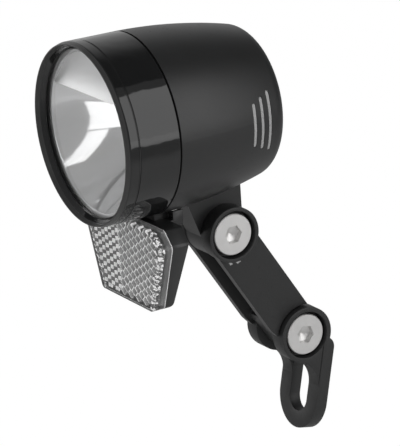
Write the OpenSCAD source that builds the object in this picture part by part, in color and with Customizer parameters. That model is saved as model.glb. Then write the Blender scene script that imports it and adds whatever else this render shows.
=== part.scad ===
// Bicycle headlight: a round lamp with a reflex reflector, on a two-pivot arm and a slotted fork bracket.
// Millimetres. The beam points along -Y and +Z is up.
// The origin is the centre of the bracket's slot, on the face that lies against the fork.

/* [Housing] */
// Radius of the housing at the seam behind the bezel
lamp_r = 22.9; // [21.5:0.1:25]
// Length of the housing behind the seam
housing_len = 33.1; // [32:0.1:36]
// Wall of the housing
housing_wall = 1.8; // [1.4:0.1:2.2]
// Profile radius of the crowned side
crown_r = 128; // [110:2:180]
// Slope of the side at the seam, in degrees
side_draft = 0.3; // [0:0.1:1.5]
// Profile radius of the rear corner
rear_corner_r = 4; // [3.5:0.1:6]
// Profile radius of the domed rear face
rear_dome_r = 200; // [140:10:260]

/* [Bezel] */
// Length of the bezel from the seam to its front rim
bezel_len = 15.2; // [14:0.2:18]
// How much smaller the front rim is than the bezel
shoulder = 0.4; // [0.2:0.05:0.6]
// Length of the shoulder behind the front rim
shoulder_len = 1.3; // [1:0.1:2]
// Distance of the trim groove from the front rim
groove_pos = 3.7; // [3:0.1:6]
// Radius of the trim groove
groove_r = 0.25; // [0.15:0.05:0.4]
// Width of the rim, from its outer edge to the lens opening
rim_w = 1.4; // [1.2:0.1:1.8]
// Flat land at the front of the rim
rim_land = 0.35; // [0.25:0.05:0.6]
// Gap of the seam between bezel and housing
seam_gap = 0.3; // [0.2:0.05:0.5]

/* [Lens and seals] */
// Distance of the lens behind the front rim
lens_setback = 2.2; // [1.6:0.1:3]
// Thickness of the lens at its centre
lens_t = 1.6; // [1.4:0.1:2.4]
// Width of the bezel's ledge that holds the lens
lens_ledge = 0.7; // [0.6:0.05:0.8]
// Thickness of the bezel's ledge
ledge_t = 0.6; // [0.4:0.1:0.8]
// Thickness of the flat seal behind the lens
lens_seal_t = 0.6; // [0.4:0.1:1]
// Depth of the groove for the seal ring in the seam
seam_seal_depth = 0.7; // [0.5:0.05:0.9]
// Width of the seal ring in the seam
seam_seal_w = 1.2; // [1:0.1:1.6]
// Distance of the seal ring in front of the seam
seam_seal_pos = 3.1; // [2.4:0.1:4]
// Wall of the housing's spigot inside the bezel
spigot_t = 1.4; // [1.2:0.1:1.6]
// Radial clearance of parts that plug into each other
plug_gap = 0.08; // [0.05:0.01:0.12]

/* [Main reflector] */
// Width of the flat land round the reflector's mouth
mouth_land = 1.1; // [0.8:0.1:1.5]
// Thickness of the reflector's rim
mouth_t = 1.2; // [1:0.1:1.6]
// Depth of the bowl behind its mouth
bowl_depth = 19; // [16:0.5:21]
// Wall of the bowl
bowl_wall = 0.8; // [0.6:0.1:1]
// Height of the hood's edge above the lamp's axis
hood_z = 9.5; // [8.5:0.1:10]
// Depth of the dish in the hood
hood_dish = 0.8; // [0.6:0.1:2.4]
// Wall of the hood
hood_t = 1; // [0.8:0.1:1.2]
// Half width of the hood's lip under the shelf
hood_lip_w = 8; // [6:0.5:9]
// Thickness of the shelf that closes the bowl
shelf_t = 1.4; // [1.2:0.1:1.8]

/* [Light source] */
// Width and length of the circuit board that carries the LED
led_board_w = 12; // [11:0.5:13]
// Thickness of the circuit boards
board_t = 1.6; // [1.2:0.1:2]
// Width of the LED package
led_w = 3.5; // [3:0.1:4]
// Radius of the dome on the LED package
led_dome_r = 1.45; // [1.2:0.05:1.5]
// Height of the LED package
led_h = 0.7; // [0.5:0.1:0.8]
// Width of the heat sink
sink_w = 19; // [17:0.5:20]
// Length of the heat sink
sink_len = 20; // [18:0.5:21]
// Thickness of the heat sink's base
sink_base_t = 1.5; // [1.2:0.1:1.8]
// Number of fins on the heat sink
sink_fins = 7; // [5:1:9]
// Thickness of a fin
fin_t = 1; // [0.8:0.1:1.2]
// Radius of the driver board
driver_r = 16; // [15:0.5:16.5]
// Distance of the driver board behind the seam
driver_y = 15; // [14:0.5:16]
// Distance of the driver board's posts from the middle, sideways
post_x = 9.9; // [9:0.1:11]
// Distance of the driver board's posts above the lamp's axis
post_z = 7.2; // [6:0.1:8]
// Depth of the screw holes in the posts
post_depth = 4; // [3:0.5:5]
// Wall of the posts round the screws
post_wall = 1.4; // [1.2:0.1:1.8]
// Radius of the capacitor and the coil on the driver board
cap_r = 4; // [3:0.1:4.2]
// Shank radius of the small screws
screw_r = 1; // [0.8:0.1:1.1]
// Head radius of the small screws
screw_head_r = 1.9; // [1.6:0.1:2]
// Thickness of the small screws' heads
screw_head_t = 1.2; // [1:0.1:1.4]
// Length of the cross recess in the small screws
cross_len = 2.3; // [1.8:0.1:2.4]
// Width of the cross recess in the small screws
cross_w = 0.4; // [0.3:0.05:0.5]
// Distance of the cable hole below the lamp's axis
cable_drop = 8.3; // [6:0.1:10]
// Radius of the cable hole in the rear wall
cable_hole_r = 3.4; // [3:0.1:4]
// Bore radius of the cable grommet
cable_r = 1.6; // [1.2:0.1:2]
// Width and thickness of the grommet's lips on both sides of the wall
grommet_lip = 1.4; // [1:0.1:1.8]

/* [Side lights] */
// Distance of the first slit in front of the housing's rear end
slit_y = 11.15; // [10.6:0.05:13.1]
// Distance from one slit to the next
slit_pitch = 2.43; // [2:0.01:2.6]
// Width of a slit
slit_w = 1; // [0.8:0.05:1.2]
// Upper end of the first slit, in degrees above the horizontal
slit_top = 12; // [10:0.2:16]
// How much higher each slit ends than the one before it, in degrees
slit_top_step = 3.4; // [2:0.1:6]
// Lower end of the first slit, in degrees below the horizontal
slit_low = 16; // [14:0.2:20]
// How much lower each slit ends than the one before it, in degrees
slit_low_step = 3.6; // [0.5:0.1:4]
// How far the clear ribs lie below the surface
rib_recess = 0.15; // [0.05:0.05:0.3]
// How far the clear plate reaches beyond the slits' ends, in degrees
plate_margin = 4; // [3:0.5:6]
// Thickness of the clear plate behind the slits
light_plate_t = 1.2; // [0.8:0.1:1.4]

/* [Reflex reflector] */
// Distance of the reflex lens's face in front of the seam
reflex_front = 5.5; // [4.5:0.1:7]
// Thickness of the reflex lens
reflex_t = 3.6; // [2.6:0.1:4]
// Depth of the holder behind the lens, at its top
holder_t = 4.8; // [4.2:0.1:5.5]
// Slope of the holder's rear face, in degrees
holder_slope = 7; // [3:0.5:8]
// Height of the reflex reflector
reflex_h = 21; // [18:0.1:23]
// Half width along the top edge
reflex_top_w = 14.9; // [13:0.1:16]
// Size of the chamfers at the top
reflex_chamfer = 3.7; // [3:0.1:5]
// Half width along the bottom edge
reflex_low_w = 12.4; // [10:0.1:14]
// Corner radius of the outline
reflex_corner_r = 1.4; // [0.8:0.1:2]
// Radius of the holder's lower rear edge
holder_edge_r = 1.8; // [1:0.1:2]
// Wall of the holder round the lens's foot
holder_wall = 1.2; // [1:0.1:1.6]
// Depth of the lens's foot in the holder
foot_depth = 1.2; // [0.8:0.1:1.6]
// Gap between the bezel and the reflex reflector
reflex_gap = 0.4; // [0.3:0.1:2]
// Half width of the holder's clip
clip_w = 9.6; // [9:0.1:11]
// Reach of the clip behind the holder
clip_reach = 2.2; // [1.8:0.1:2.6]
// Thickness of the clip
clip_t = 1.4; // [1.2:0.1:1.8]

// Width of the clip's tongues
tongue_w = 2.8; // [2.4:0.1:3.2]
// Height of the clip's tongues above the bridge
tongue_h = 2.2; // [2:0.1:2.6]
// Walls of the slot in a tongue
tongue_slot_wall = 0.7; // [0.5:0.05:0.8]
// Height of the slot in a tongue
tongue_slot_h = 1.2; // [0.8:0.1:1.3]
// Height of that slot's lower side above the bridge
tongue_slot_z = 0.3; // [0.2:0.05:0.4]

/* [Pivots] */
// Distance of the lamp's pivot behind the seam
neck_y = 21.5; // [20:0.1:23]
// Distance of the lamp's pivot below the side of the housing
neck_len = 8.55; // [8.2:0.05:12]
// Thickness of the lugs
lug_t = 7.6; // [6.5:0.1:9]
// Clearance between a lug and the ear beside it
lug_gap = 0.1; // [0.05:0.05:0.2]
// Thickness of the ears
ear_t = 4.5; // [4.2:0.1:5]
// Radius of the lamp's lug
upper_lug_r = 6.9; // [6.4:0.1:7]
// Outer radius of the upper rings
upper_ring_r = 7.1; // [7.1:0.1:7.6]
// Radius of the arm's lower lug
lower_lug_r = 5.2; // [4.8:0.1:5.3]
// Outer radius of the lower rings
lower_ring_r = 7.36; // [7.1:0.02:7.6]
// Rear edge of the lamp's neck, behind its pivot
neck_rear = 5.3; // [4:0.1:6]
// How far the neck and the clip's pad reach into the housing's side
neck_root = 5.4; // [5:0.1:6]
// Front edge of the lamp's neck at the housing, in front of its pivot
neck_front = 10; // [8:0.2:12]

/* [Arm] */
// Distance between the two pivots
arm_len = 36.75; // [32:0.25:50]
// Lean of the arm from the vertical, in degrees
arm_lean = 32; // [20:1:40]
// Front edge of the arm's side plates, in front of the pivots
arm_front = 6.6; // [6:0.1:6.8]
// Rear edge of the arm, behind the pivots
arm_rear = 5.4; // [5.2:0.1:6.4]
// Distance of a side plate's inner face from the middle of the arm
plate_in = 4.8; // [4.4:0.1:5.2]
// Thickness of the arm's side plates
arm_plate_t = 2.4; // [2:0.1:2.6]
// Height above the lower pivot where the lug's gusset meets the web
gusset_h = 13; // [12:0.5:18]
// Thickness of the web along the arm's rear
arm_web_t = 2.2; // [1.8:0.1:3]
// Clearance of the arm round the lower rings and the lamp's lug
swing_gap = 0.5; // [0.3:0.05:0.8]

/* [Fork bracket] */
// Lean of the bracket's plate from the vertical, in degrees
bracket_lean = 12; // [5:1:20]
// Width of the plate
tab_w = 17.2; // [16:0.1:18]
// Thickness of the plate
tab_t = 3.2; // [2.8:0.1:4]
// Width of the slot
slot_w = 7.8; // [6:0.1:8]
// Length of the slot from end to end
slot_len = 14.4; // [12:0.1:20]
// Width of the plate below the slot
tab_end = 4.4; // [3:0.1:6]
// Distance of the pivot in front of the plate's rear face
pivot_off = 8.8; // [8.6:0.1:9.4]
// Distance of the pivot above the slot's upper end
pivot_above_slot = 8.2; // [7:0.1:10]
// Distance of the plate's top below the pivot
tab_top_drop = 0.7; // [0.4:0.1:1.5]
// Radius of the plate's rear top edge
tab_top_r = 2.8; // [1:0.1:3]
// Fillet between the ears and the plate
ear_fillet_r = 7; // [5:0.1:8]

/* [Bolts] */
// Shank radius of the pivot bolts
bolt_r = 3; // [2.8:0.05:3]
// Head radius of the pivot bolts
bolt_head_r = 5.35; // [5:0.05:5.4]
// Thickness of the bolt head
bolt_head_t = 2.4; // [2.2:0.1:2.6]
// Chamfer round the bolt head
head_chamfer = 0.2; // [0.1:0.05:0.5]
// Turn of the hex socket about its bolt, in degrees
socket_turn = 30; // [0:1:60]
// Width across flats of the hex socket
socket_af = 4.3; // [3.5:0.1:4.5]
// Depth of the hex socket's flats
socket_depth = 1.5; // [1.2:0.1:1.7]
// Depth of the drilled point below the socket's flats
socket_point = 0.6; // [0.4:0.1:0.7]
// Clearance round the bolt head in its recess
head_gap = 0.8; // [0.3:0.05:0.9]
// Depth of the bolt heads and nuts below the ring's face
head_recess = 0.6; // [0.4:0.1:0.8]
// Clearance of the bolt in its bores
bore_gap = 0.05; // [0.03:0.01:0.08]
// Width across flats of the nuts
nut_af = 10; // [9.5:0.1:10.4]
// Thickness of the nuts
nut_t = 2.6; // [2.2:0.1:2.8]
// Clearance of the nuts in their pockets
nut_gap = 0.1; // [0.05:0.05:0.15]

/* [Hidden] */
$fn = 96;
eps = 0.02;
// Overlap of tangent arcs, so that no sliver is left between them
lap = 0.004;

black_satin = [0.11, 0.11, 0.115];
black_gloss = [0.05, 0.05, 0.055];
rubber_grey = [0.16, 0.16, 0.16];
chrome_grey = [0.82, 0.83, 0.84];
clear_grey = [0.86, 0.88, 0.9, 0.45];
board_green = [0.1, 0.32, 0.2];
steel_grey = [0.72, 0.71, 0.7];
led_yellow = [0.95, 0.85, 0.35];
sink_grey = [0.6, 0.61, 0.62];
part_blue = [0.2, 0.22, 0.3];

// Fillet of radius r at corner b of the path a, b, c: where it meets both edges, and its centre
function unit(v) = v / norm(v);
function fillet_at(a, b, c, r) =
    let (u = unit(a - b), v = unit(c - b), half = acos(u * v) / 2)
    [b + u * r / tan(half), b + v * r / tan(half), b + unit(u + v) * r / sin(half)];

// Point at distance ra from a and rb from b, on the left of the way from a to b
function meet(a, ra, b, rb) =
    let (gap = norm(b - a), along = (ra * ra - rb * rb + gap * gap) / (2 * gap), u = unit(b - a))
    a + along * u + sqrt(ra * ra - along * along) * [-u[1], u[0]];

// Housing profile: three tangent arcs, given as [radius from the axis, distance behind the seam]
crown_c = [lamp_r - crown_r * cos(side_draft), -crown_r * sin(side_draft)];
dome_c = [0, housing_len - rear_dome_r];
corner_c = meet(crown_c, crown_r - rear_corner_r, dome_c, rear_dome_r - rear_corner_r);

// Stations along the lamp's axis and the radii that plug into each other
rim_r = lamp_r - shoulder;
aperture_r = rim_r - rim_w;
lens_r = aperture_r + lens_ledge;
bezel_bore_r = lens_r + plug_gap;
rim_y = -bezel_len;
lens_y = rim_y + lens_setback;
ledge_y = lens_y + ledge_t;
lens_rear_y = lens_y + lens_t;
mouth_y = lens_rear_y + lens_seal_t;
mouth_rear_y = mouth_y + mouth_t;
mouth_r = aperture_r - mouth_land;
spigot_r = bezel_bore_r - plug_gap;
seam_seal_y = -seam_seal_pos;

// Stack on top of the reflector: shelf, LED board, heat sink
shelf_z = hood_z + hood_t;
board_z = shelf_z + shelf_t;
sink_z = board_z + board_t;
shelf_y = mouth_rear_y + hood_dish + hood_t;
led_y = shelf_y + led_board_w / 2;
screw_x = led_board_w / 2 - screw_head_r;
screw_y = led_board_w / 2 - screw_head_r;
post_r = screw_r + post_wall;

// Reflex reflector stations
reflex_y = -reflex_front;
reflex_drop = lamp_r + reflex_gap;
holder_y = reflex_y + reflex_t;
holder_rear_y = holder_y + holder_t;
clip_y = holder_rear_y + clip_reach;

// Side-by-side stations across the pivots
ear_in = lug_t / 2 + lug_gap;
ear_out = ear_in + ear_t;
head_x = ear_out - head_recess;
seat_x = head_x - bolt_head_t;
nut_x = ear_out - head_recess - nut_t;
bore_r = bolt_r + bore_gap;
neck_drop = lamp_r + neck_len;

// Pivots: the bracket carries the lower one, the arm the upper one, and the lamp hangs on that
pivot_h = slot_len / 2 + pivot_above_slot;
lower_pivot = [0, pivot_h * sin(bracket_lean) - pivot_off * cos(bracket_lean),
    pivot_h * cos(bracket_lean) + pivot_off * sin(bracket_lean)];
upper_pivot = lower_pivot + arm_len * [0, -sin(arm_lean), cos(arm_lean)];
lamp_origin = upper_pivot + [0, -neck_y, neck_drop];

module in_lamp() { translate(lamp_origin) children(); }
module in_arm() { translate(lower_pivot) rotate([arm_lean, 0, 0]) children(); }
module in_bracket() { rotate([-bracket_lean, 0, 0]) children(); }

// Turns a half profile [radius, y] round the lamp's axis
module revolve() { rotate([-90, 0, 0]) rotate_extrude() children(); }

// Raises a profile [y, z] from x0 to x1
module across(x0, x1) { translate([x0, 0, 0]) rotate([90, 0, 90]) linear_extrude(x1 - x0) children(); }

// Raises a profile [x, z] from y0 to y1
module lengthwise(y0, y1) { translate([0, y1, 0]) rotate([90, 0, 0]) linear_extrude(y1 - y0) children(); }

module both_sides() {
    children();
    mirror([1, 0, 0]) children();
}

// A ring of radii r0 and r1 from y0 to y1 along the lamp's axis
module ring(r0, r1, y0, y1) { revolve() translate([r0, y0]) square([r1 - r0, y1 - y0]); }

// Closed outline, counter-clockwise, with a fillet radius for each corner
module outline(pts, radii) {
    n = len(pts);
    last = n - 1;
    fillets = [for (i = [0:last]) fillet_at(pts[(i + last) % n], pts[i], pts[(i + 1) % n], radii[i])];
    roots = [for (f = fillets) (2 * f[0] + 2 * f[1] + f[2]) / 5];
    bulges = [for (i = [0:last]) cross(pts[i] - pts[(i + last) % n], pts[(i + 1) % n] - pts[i]) > 0];
    difference() {
        union() {
            polygon([for (i = [0:last]) each radii[i] > 0 ? [fillets[i][0], fillets[i][1]] : [pts[i]]]);
            for (i = [0:last]) if (radii[i] > 0 && bulges[i]) intersection() {
                translate(fillets[i][2]) circle(radii[i] + lap);
                polygon([fillets[i][0], pts[i], fillets[i][1], roots[i]]);
            }
        }
        for (i = [0:last]) if (radii[i] > 0 && !bulges[i]) translate(fillets[i][2]) circle(radii[i] + lap);
    }
}

// Half profile of the housing, drawn in by a wall
module housing_half(inset) {
    side = crown_c + (crown_r + 1) * unit(corner_c - crown_c);
    rear = dome_c + (rear_dome_r + 1) * unit(corner_c - dome_c);
    intersection() {
        translate(crown_c) circle(crown_r - inset, $fn = 720);
        polygon([[0, 0], [lamp_r + 1, 0], side, corner_c, [0, corner_c[1]]]);
    }
    intersection() {
        translate(dome_c) circle(rear_dome_r - inset, $fn = 360);
        polygon([[0, corner_c[1]], corner_c, rear, [0, housing_len + 1]]);
    }
    translate(corner_c) circle(rear_corner_r - inset + lap);
}

// One slit through the side, at elevations low to top round the lamp's axis, with round ends
module slit(index, width, r0, r1) {
    top = slit_top + index * slit_top_step;
    low = -slit_low - index * slit_low_step;
    translate([0, housing_len - slit_y + index * slit_pitch, 0]) {
        rotate([-90, 0, 0]) rotate([0, 0, -top]) rotate_extrude(angle = top - low)
            translate([r0, -width / 2]) square([r1 - r0, width]);
        for (end = [top, low]) rotate([0, -end, 0]) translate([r0, 0, 0]) rotate([0, 90, 0])
            cylinder(h = r1 - r0, r = width / 2);
    }
}

module slits(width, r0, r1) { for (index = [0:2]) slit(index, width, r0, r1); }

// Side profile of the lug under the housing
module neck_profile() {
    translate([neck_y, -neck_drop]) circle(upper_lug_r);
    polygon([[neck_y - neck_front, -lamp_r + housing_wall], [neck_y - neck_front, -lamp_r],
        [neck_y - upper_lug_r, -neck_drop], [neck_y + neck_rear, -neck_drop],
        [neck_y + neck_rear, -lamp_r + neck_root]]);
}

module housing() {
    color(black_satin) in_lamp() difference() {
        union() {
            revolve() housing_half(0);
            ring(spigot_r - spigot_t, spigot_r, mouth_rear_y, eps);
            across(-lug_t / 2, lug_t / 2) neck_profile();
            clip_pad();
        }
        difference() {
            revolve() housing_half(housing_wall);
            ring(spigot_r - spigot_t, lamp_r + 1, -1, housing_wall);
            at_posts(driver_y + board_t) cylinder(h = housing_len, r = post_r);
        }
        ring(0, spigot_r - spigot_t, mouth_rear_y - 1, 2 * eps);
        ring(spigot_r - seam_seal_depth, spigot_r + 1, seam_seal_y, seam_seal_y + seam_seal_w);
        both_sides() slits(slit_w, lamp_r / 2, lamp_r + 1);
        translate([0, housing_len / 2, -cable_drop]) rotate([-90, 0, 0]) cylinder(h = housing_len, r = cable_hole_r);
        at_posts(driver_y) cylinder(h = board_t + post_depth + 1, r = screw_r + bore_gap);
        translate([-lug_t, neck_y, -neck_drop]) rotate([0, 90, 0]) cylinder(h = 2 * lug_t, r = bore_r);
    }
}

// The two posts that carry the driver board, pointing rearward from distance y behind the seam
module at_posts(y) {
    for (sx = [-1, 1]) translate([sx * post_x, y, post_z]) rotate([-90, 0, 0]) children();
}

// Pad under the housing that the reflex holder's clip hooks on
module clip_pad() {
    translate([-clip_w + tongue_w, eps, -reflex_drop])
        cube([2 * (clip_w - tongue_w), clip_y - eps - plug_gap, reflex_drop - lamp_r + neck_root]);
}

module bezel() {
    color(black_gloss) in_lamp() revolve() difference() {
        outline([[bezel_bore_r, -seam_gap], [bezel_bore_r, ledge_y], [aperture_r, ledge_y], [aperture_r, lens_y],
            [rim_r - rim_land, rim_y], [rim_r, rim_y], [lamp_r, rim_y + shoulder_len], [lamp_r, -seam_gap]],
            [0, 0, 0, 0, 0, rim_land / 2, shoulder_len, rim_land]);
        translate([lamp_r, rim_y + groove_pos]) circle(groove_r);
    }
}

module front_lens() {
    color(clear_grey) in_lamp() {
        ring(0, aperture_r - plug_gap, lens_y, ledge_y + eps);
        ring(0, lens_r, ledge_y, lens_rear_y);
    }
}

module lens_seal() {
    color(rubber_grey) in_lamp() ring(aperture_r, lens_r, lens_rear_y, mouth_y);
}

module seam_seal() {
    color(rubber_grey) in_lamp() ring(spigot_r - seam_seal_depth + eps, bezel_bore_r - eps,
        seam_seal_y, seam_seal_y + seam_seal_w - plug_gap);
}

// Half profile of the bowl, a parabola from the mouth to the vertex, grown by a wall
module bowl_half(wall) {
    steps = 28;
    polygon(concat([[0, mouth_y - wall]], [for (i = [0:steps]) let (s = i / steps)
        [(mouth_r + wall) * sqrt(1 - s * s), mouth_y + s * s * (bowl_depth + wall)]]));
}

module main_reflector() {
    color(chrome_grey) in_lamp() difference() {
        union() {
            ring(mouth_r, lens_r - plug_gap, mouth_y, mouth_rear_y);
            intersection() {
                revolve() bowl_half(bowl_wall);
                translate([-lamp_r, mouth_y, -lamp_r]) cube([2 * lamp_r, 2 * bowl_depth, lamp_r + board_z]);
            }
        }
        intersection() {
            revolve() bowl_half(0);
            translate([-lamp_r, mouth_y - 1, -lamp_r]) cube([2 * lamp_r, 2 * bowl_depth, lamp_r + shelf_z]);
        }
        intersection() {
            union() {
                ring(0, mouth_r, mouth_y - 1, mouth_rear_y + eps);
                ring(0, lamp_r, mouth_rear_y, shelf_y);
            }
            translate([-lamp_r, rim_y, hood_z]) cube([2 * lamp_r, 2 * bowl_depth, lamp_r]);
        }
        translate([-led_w, led_y - led_w, shelf_z - 1]) cube([2 * led_w, 2 * led_w, shelf_t + 2]);
        led_screw_holes(shelf_z - 1, board_z + 1, screw_r + bore_gap);
    }
}

module led_screw_holes(z0, z1, r) {
    for (sx = [-1, 1], sy = [-1, 1]) if (sx == sy)
        translate([sx * screw_x, led_y + sy * screw_y, z0]) cylinder(h = z1 - z0, r = r);
}

// Bright hood that hides the LED: a dished wall over the upper part of the lens, with a straight lower edge
// and a lip that is held under the shelf
module reflector_hood() {
    half_h = (mouth_r - hood_z) / 2;
    dish_r = (half_h * half_h + hood_dish * hood_dish) / (2 * hood_dish);
    dish_c = [mouth_y + hood_dish - dish_r, hood_z + half_h];
    color(chrome_grey) in_lamp() {
        intersection() {
            across(-lamp_r, lamp_r) intersection() {
                difference() {
                    translate(dish_c) circle(dish_r + hood_t);
                    translate(dish_c) circle(dish_r);
                }
                translate([mouth_y - eps, hood_z]) square([2 * hood_dish + hood_t, 2 * half_h]);
            }
            ring(0, mouth_r - plug_gap, rim_y, 0);
        }
        translate([-hood_lip_w, mouth_y + hood_t / 2, hood_z])
            cube([2 * hood_lip_w, led_y - led_w - mouth_y - hood_t / 2, hood_t]);
    }
}

module led_board() {
    color(board_green) in_lamp() difference() {
        translate([-led_board_w / 2, led_y - led_board_w / 2, board_z]) cube([led_board_w, led_board_w, board_t]);
        led_screw_holes(board_z - 1, sink_z + 1, screw_r + bore_gap);
    }
}

module led_package() {
    color(led_yellow) in_lamp() translate([0, led_y, board_z]) {
        translate([-led_w / 2, -led_w / 2, -led_h]) cube([led_w, led_w, led_h]);
        intersection() {
            translate([0, 0, -led_h]) sphere(led_dome_r);
            translate([-led_w / 2, -led_w / 2, -led_h - led_w]) cube([led_w, led_w, led_w + led_h / 2]);
        }
    }
}

module heat_sink() {
    color(sink_grey) in_lamp() difference() {
        intersection() {
            union() {
                translate([-sink_w / 2, shelf_y, sink_z]) cube([sink_w, sink_len, sink_base_t]);
                for (i = [0:sink_fins - 1])
                    translate([(i / (sink_fins - 1) - 0.5) * (sink_w - fin_t) - fin_t / 2,
                        shelf_y, sink_z]) cube([fin_t, sink_len, lamp_r]);
            }
            ring(0, spigot_r - spigot_t - 1, rim_y, housing_len);
        }
        led_screw_holes(sink_z - 1, sink_z + sink_base_t + 1, screw_r + bore_gap);
        led_screw_holes(sink_z + sink_base_t, lamp_r, screw_head_r + bore_gap);
    }
}

module driver_board() {
    color(board_green) in_lamp() difference() {
        ring(0, driver_r, driver_y, driver_y + board_t);
        at_posts(driver_y - 1) cylinder(h = board_t + 2, r = screw_r + bore_gap);
    }
}

// Capacitor, coil and rectifier on the rear of the driver board
module driver_parts() {
    color(part_blue) in_lamp() translate([0, driver_y + board_t, 0]) {
        translate([-1.2 * cap_r, 0, -post_z]) rotate([-90, 0, 0]) cylinder(h = 2 * cap_r, r = cap_r);
        translate([0, 0, post_z]) rotate([-90, 0, 0]) difference() {
            cylinder(h = cap_r, r = cap_r);
            translate([0, 0, -1]) cylinder(h = cap_r + 2, r = cap_r / 3);
        }
        translate([0.8 * cap_r, 0, -post_z - cap_r / 2]) cube([1.5 * cap_r, cap_r / 2, 1.5 * cap_r]);
    }
}

module small_screw(shank) {
    cylinder(h = shank, r = screw_r);
    translate([0, 0, shank]) difference() {
        cylinder(h = screw_head_t, r = screw_head_r);
        for (a = [0, 90]) rotate([0, 0, a])
            translate([-cross_len / 2, -cross_w / 2, screw_head_t / 2]) cube([cross_len, cross_w, screw_head_t]);
    }
}

module board_screws() {
    color(steel_grey) in_lamp() {
        for (s = [-1, 1]) translate([s * screw_x, led_y + s * screw_y, shelf_z])
            small_screw(shelf_t + board_t + sink_base_t);
        at_posts(driver_y + board_t + post_depth) mirror([0, 0, 1]) small_screw(board_t + post_depth);
    }
}

// Clear insert that fills the slits of one side: three ribs on a plate behind the wall
module side_light() {
    span = slit_top + 2 * slit_top_step + plate_margin;
    drop = slit_low + 2 * slit_low_step + plate_margin;
    intersection() {
        union() {
            slits(slit_w - 2 * bore_gap, lamp_r / 2, lamp_r);
            translate([0, housing_len - slit_y - slit_pitch, 0]) rotate([-90, 0, 0]) rotate([0, 0, -span])
                rotate_extrude(angle = span + drop) translate([lamp_r / 2, 0]) square([lamp_r / 2, 4 * slit_pitch]);
        }
        difference() {
            revolve() housing_half(housing_wall + bore_gap);
            revolve() housing_half(housing_wall + bore_gap + light_plate_t);
        }
    }
    intersection() {
        slits(slit_w - 2 * bore_gap, lamp_r / 2, lamp_r);
        difference() {
            revolve() housing_half(rib_recess);
            revolve() housing_half(housing_wall + bore_gap + light_plate_t / 2);
        }
    }
}

module side_light_left() { color(clear_grey) in_lamp() side_light(); }

module side_light_right() { color(clear_grey) in_lamp() mirror([1, 0, 0]) side_light(); }

// Rubber grommet in the rear wall, with a groove that takes the wall
module cable_grommet() {
    flange_r = cable_hole_r + grommet_lip;
    inner_y = housing_len - housing_wall - grommet_lip;
    outer_y = housing_len + grommet_lip;
    color(rubber_grey) in_lamp() difference() {
        union() {
            difference() {
                translate([0, 0, -cable_drop]) ring(0, flange_r, inner_y, outer_y);
                difference() {
                    revolve() housing_half(-eps);
                    revolve() housing_half(housing_wall + eps);
                }
            }
            translate([0, 0, -cable_drop]) ring(0, cable_hole_r - bore_gap, inner_y, outer_y);
        }
        translate([0, 0, -cable_drop]) ring(0, cable_r, inner_y - 1, outer_y + 1);
    }
}

// Front outline of the reflex reflector, drawn in by a wall
module reflex_outline(inset) {
    top = -reflex_drop - inset;
    low = -reflex_drop - reflex_h + inset;
    wide = reflex_top_w + reflex_chamfer - inset;
    mid = -reflex_drop - reflex_chamfer;
    outline([[-reflex_low_w + inset, low], [reflex_low_w - inset, low], [wide, mid - inset / 2],
        [reflex_top_w - inset / 2, top], [-reflex_top_w + inset / 2, top], [-wide, mid - inset / 2]],
        [for (i = [0:5]) reflex_corner_r]);
}

module reflex_lens() {
    color(clear_grey) in_lamp() {
        lengthwise(reflex_y, holder_y) reflex_outline(0);
        lengthwise(holder_y - eps, holder_y + foot_depth) reflex_outline(holder_wall + plug_gap);
    }
}

module reflex_holder() {
    top = -reflex_drop + eps;
    low = -reflex_drop - reflex_h - eps;
    rear_low_y = holder_rear_y - reflex_h * tan(holder_slope);
    color(black_satin) in_lamp() {
        difference() {
            intersection() {
                lengthwise(holder_y, holder_rear_y + 1) reflex_outline(0);
                across(-lamp_r, lamp_r) outline([[reflex_y, low], [rear_low_y, low], [holder_rear_y, top],
                    [reflex_y, top]], [0, holder_edge_r, 0, 0]);
            }
            lengthwise(holder_y - 1, holder_y + foot_depth + plug_gap) reflex_outline(holder_wall);
        }
        clip();
    }
}

// Bridge behind the holder with two hooked tongues that grip the pad under the housing
module clip() {
    bridge_z = -reflex_drop - clip_t;
    translate([-clip_w, holder_y + clip_t, bridge_z]) cube([2 * clip_w, clip_y - holder_y, clip_t]);
    both_sides() difference() {
        translate([clip_w - tongue_w + plug_gap, clip_y - clip_t, bridge_z])
            cube([tongue_w - plug_gap, 2 * clip_t, clip_t + tongue_h]);
        translate([clip_w - tongue_w + tongue_slot_wall, clip_y - 2 * clip_t, -reflex_drop + tongue_slot_z])
            cube([tongue_w - 2 * tongue_slot_wall, 4 * clip_t, tongue_slot_h]);
        revolve() housing_half(-plug_gap);
    }
}

// Bolt along X, from its head on the left side to its end in the nut on the right side
module pivot_bolt(turn) {
    color(steel_grey) rotate([0, 90, 0]) difference() {
        union() {
            translate([0, 0, -nut_x - nut_t]) cylinder(h = nut_x + nut_t + seat_x + eps, r = bolt_r);
            translate([0, 0, seat_x]) cylinder(h = bolt_head_t - head_chamfer, r = bolt_head_r);
            translate([0, 0, head_x - head_chamfer])
                cylinder(h = head_chamfer, r1 = bolt_head_r, r2 = bolt_head_r - head_chamfer);
        }
        translate([0, 0, head_x - socket_depth]) rotate([0, 0, turn])
            cylinder(h = socket_depth + 1, r = socket_af / 2 / cos(30), $fn = 6);
        translate([0, 0, head_x - socket_depth - socket_point])
            cylinder(h = socket_point + eps, r1 = 0, r2 = socket_af / 2);
    }
}

module pivot_nut() {
    color(steel_grey) translate([-nut_x - nut_t, 0, 0]) rotate([0, 90, 0]) difference() {
        cylinder(h = nut_t, r = nut_af / 2 / cos(30), $fn = 6);
        translate([0, 0, -1]) cylinder(h = nut_t + 2, r = bore_r);
    }
}

// Bore, head recess and nut pocket of one pivot
module pivot_cuts() {
    rotate([0, 90, 0]) {
        translate([0, 0, -2 * ear_out]) cylinder(h = 4 * ear_out, r = bore_r);
        translate([0, 0, seat_x]) cylinder(h = ear_t, r = bolt_head_r + head_gap);
        translate([0, 0, -nut_x - ear_t]) cylinder(h = ear_t, r = (nut_af / 2 + nut_gap) / cos(30), $fn = 6);
    }
}

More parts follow.
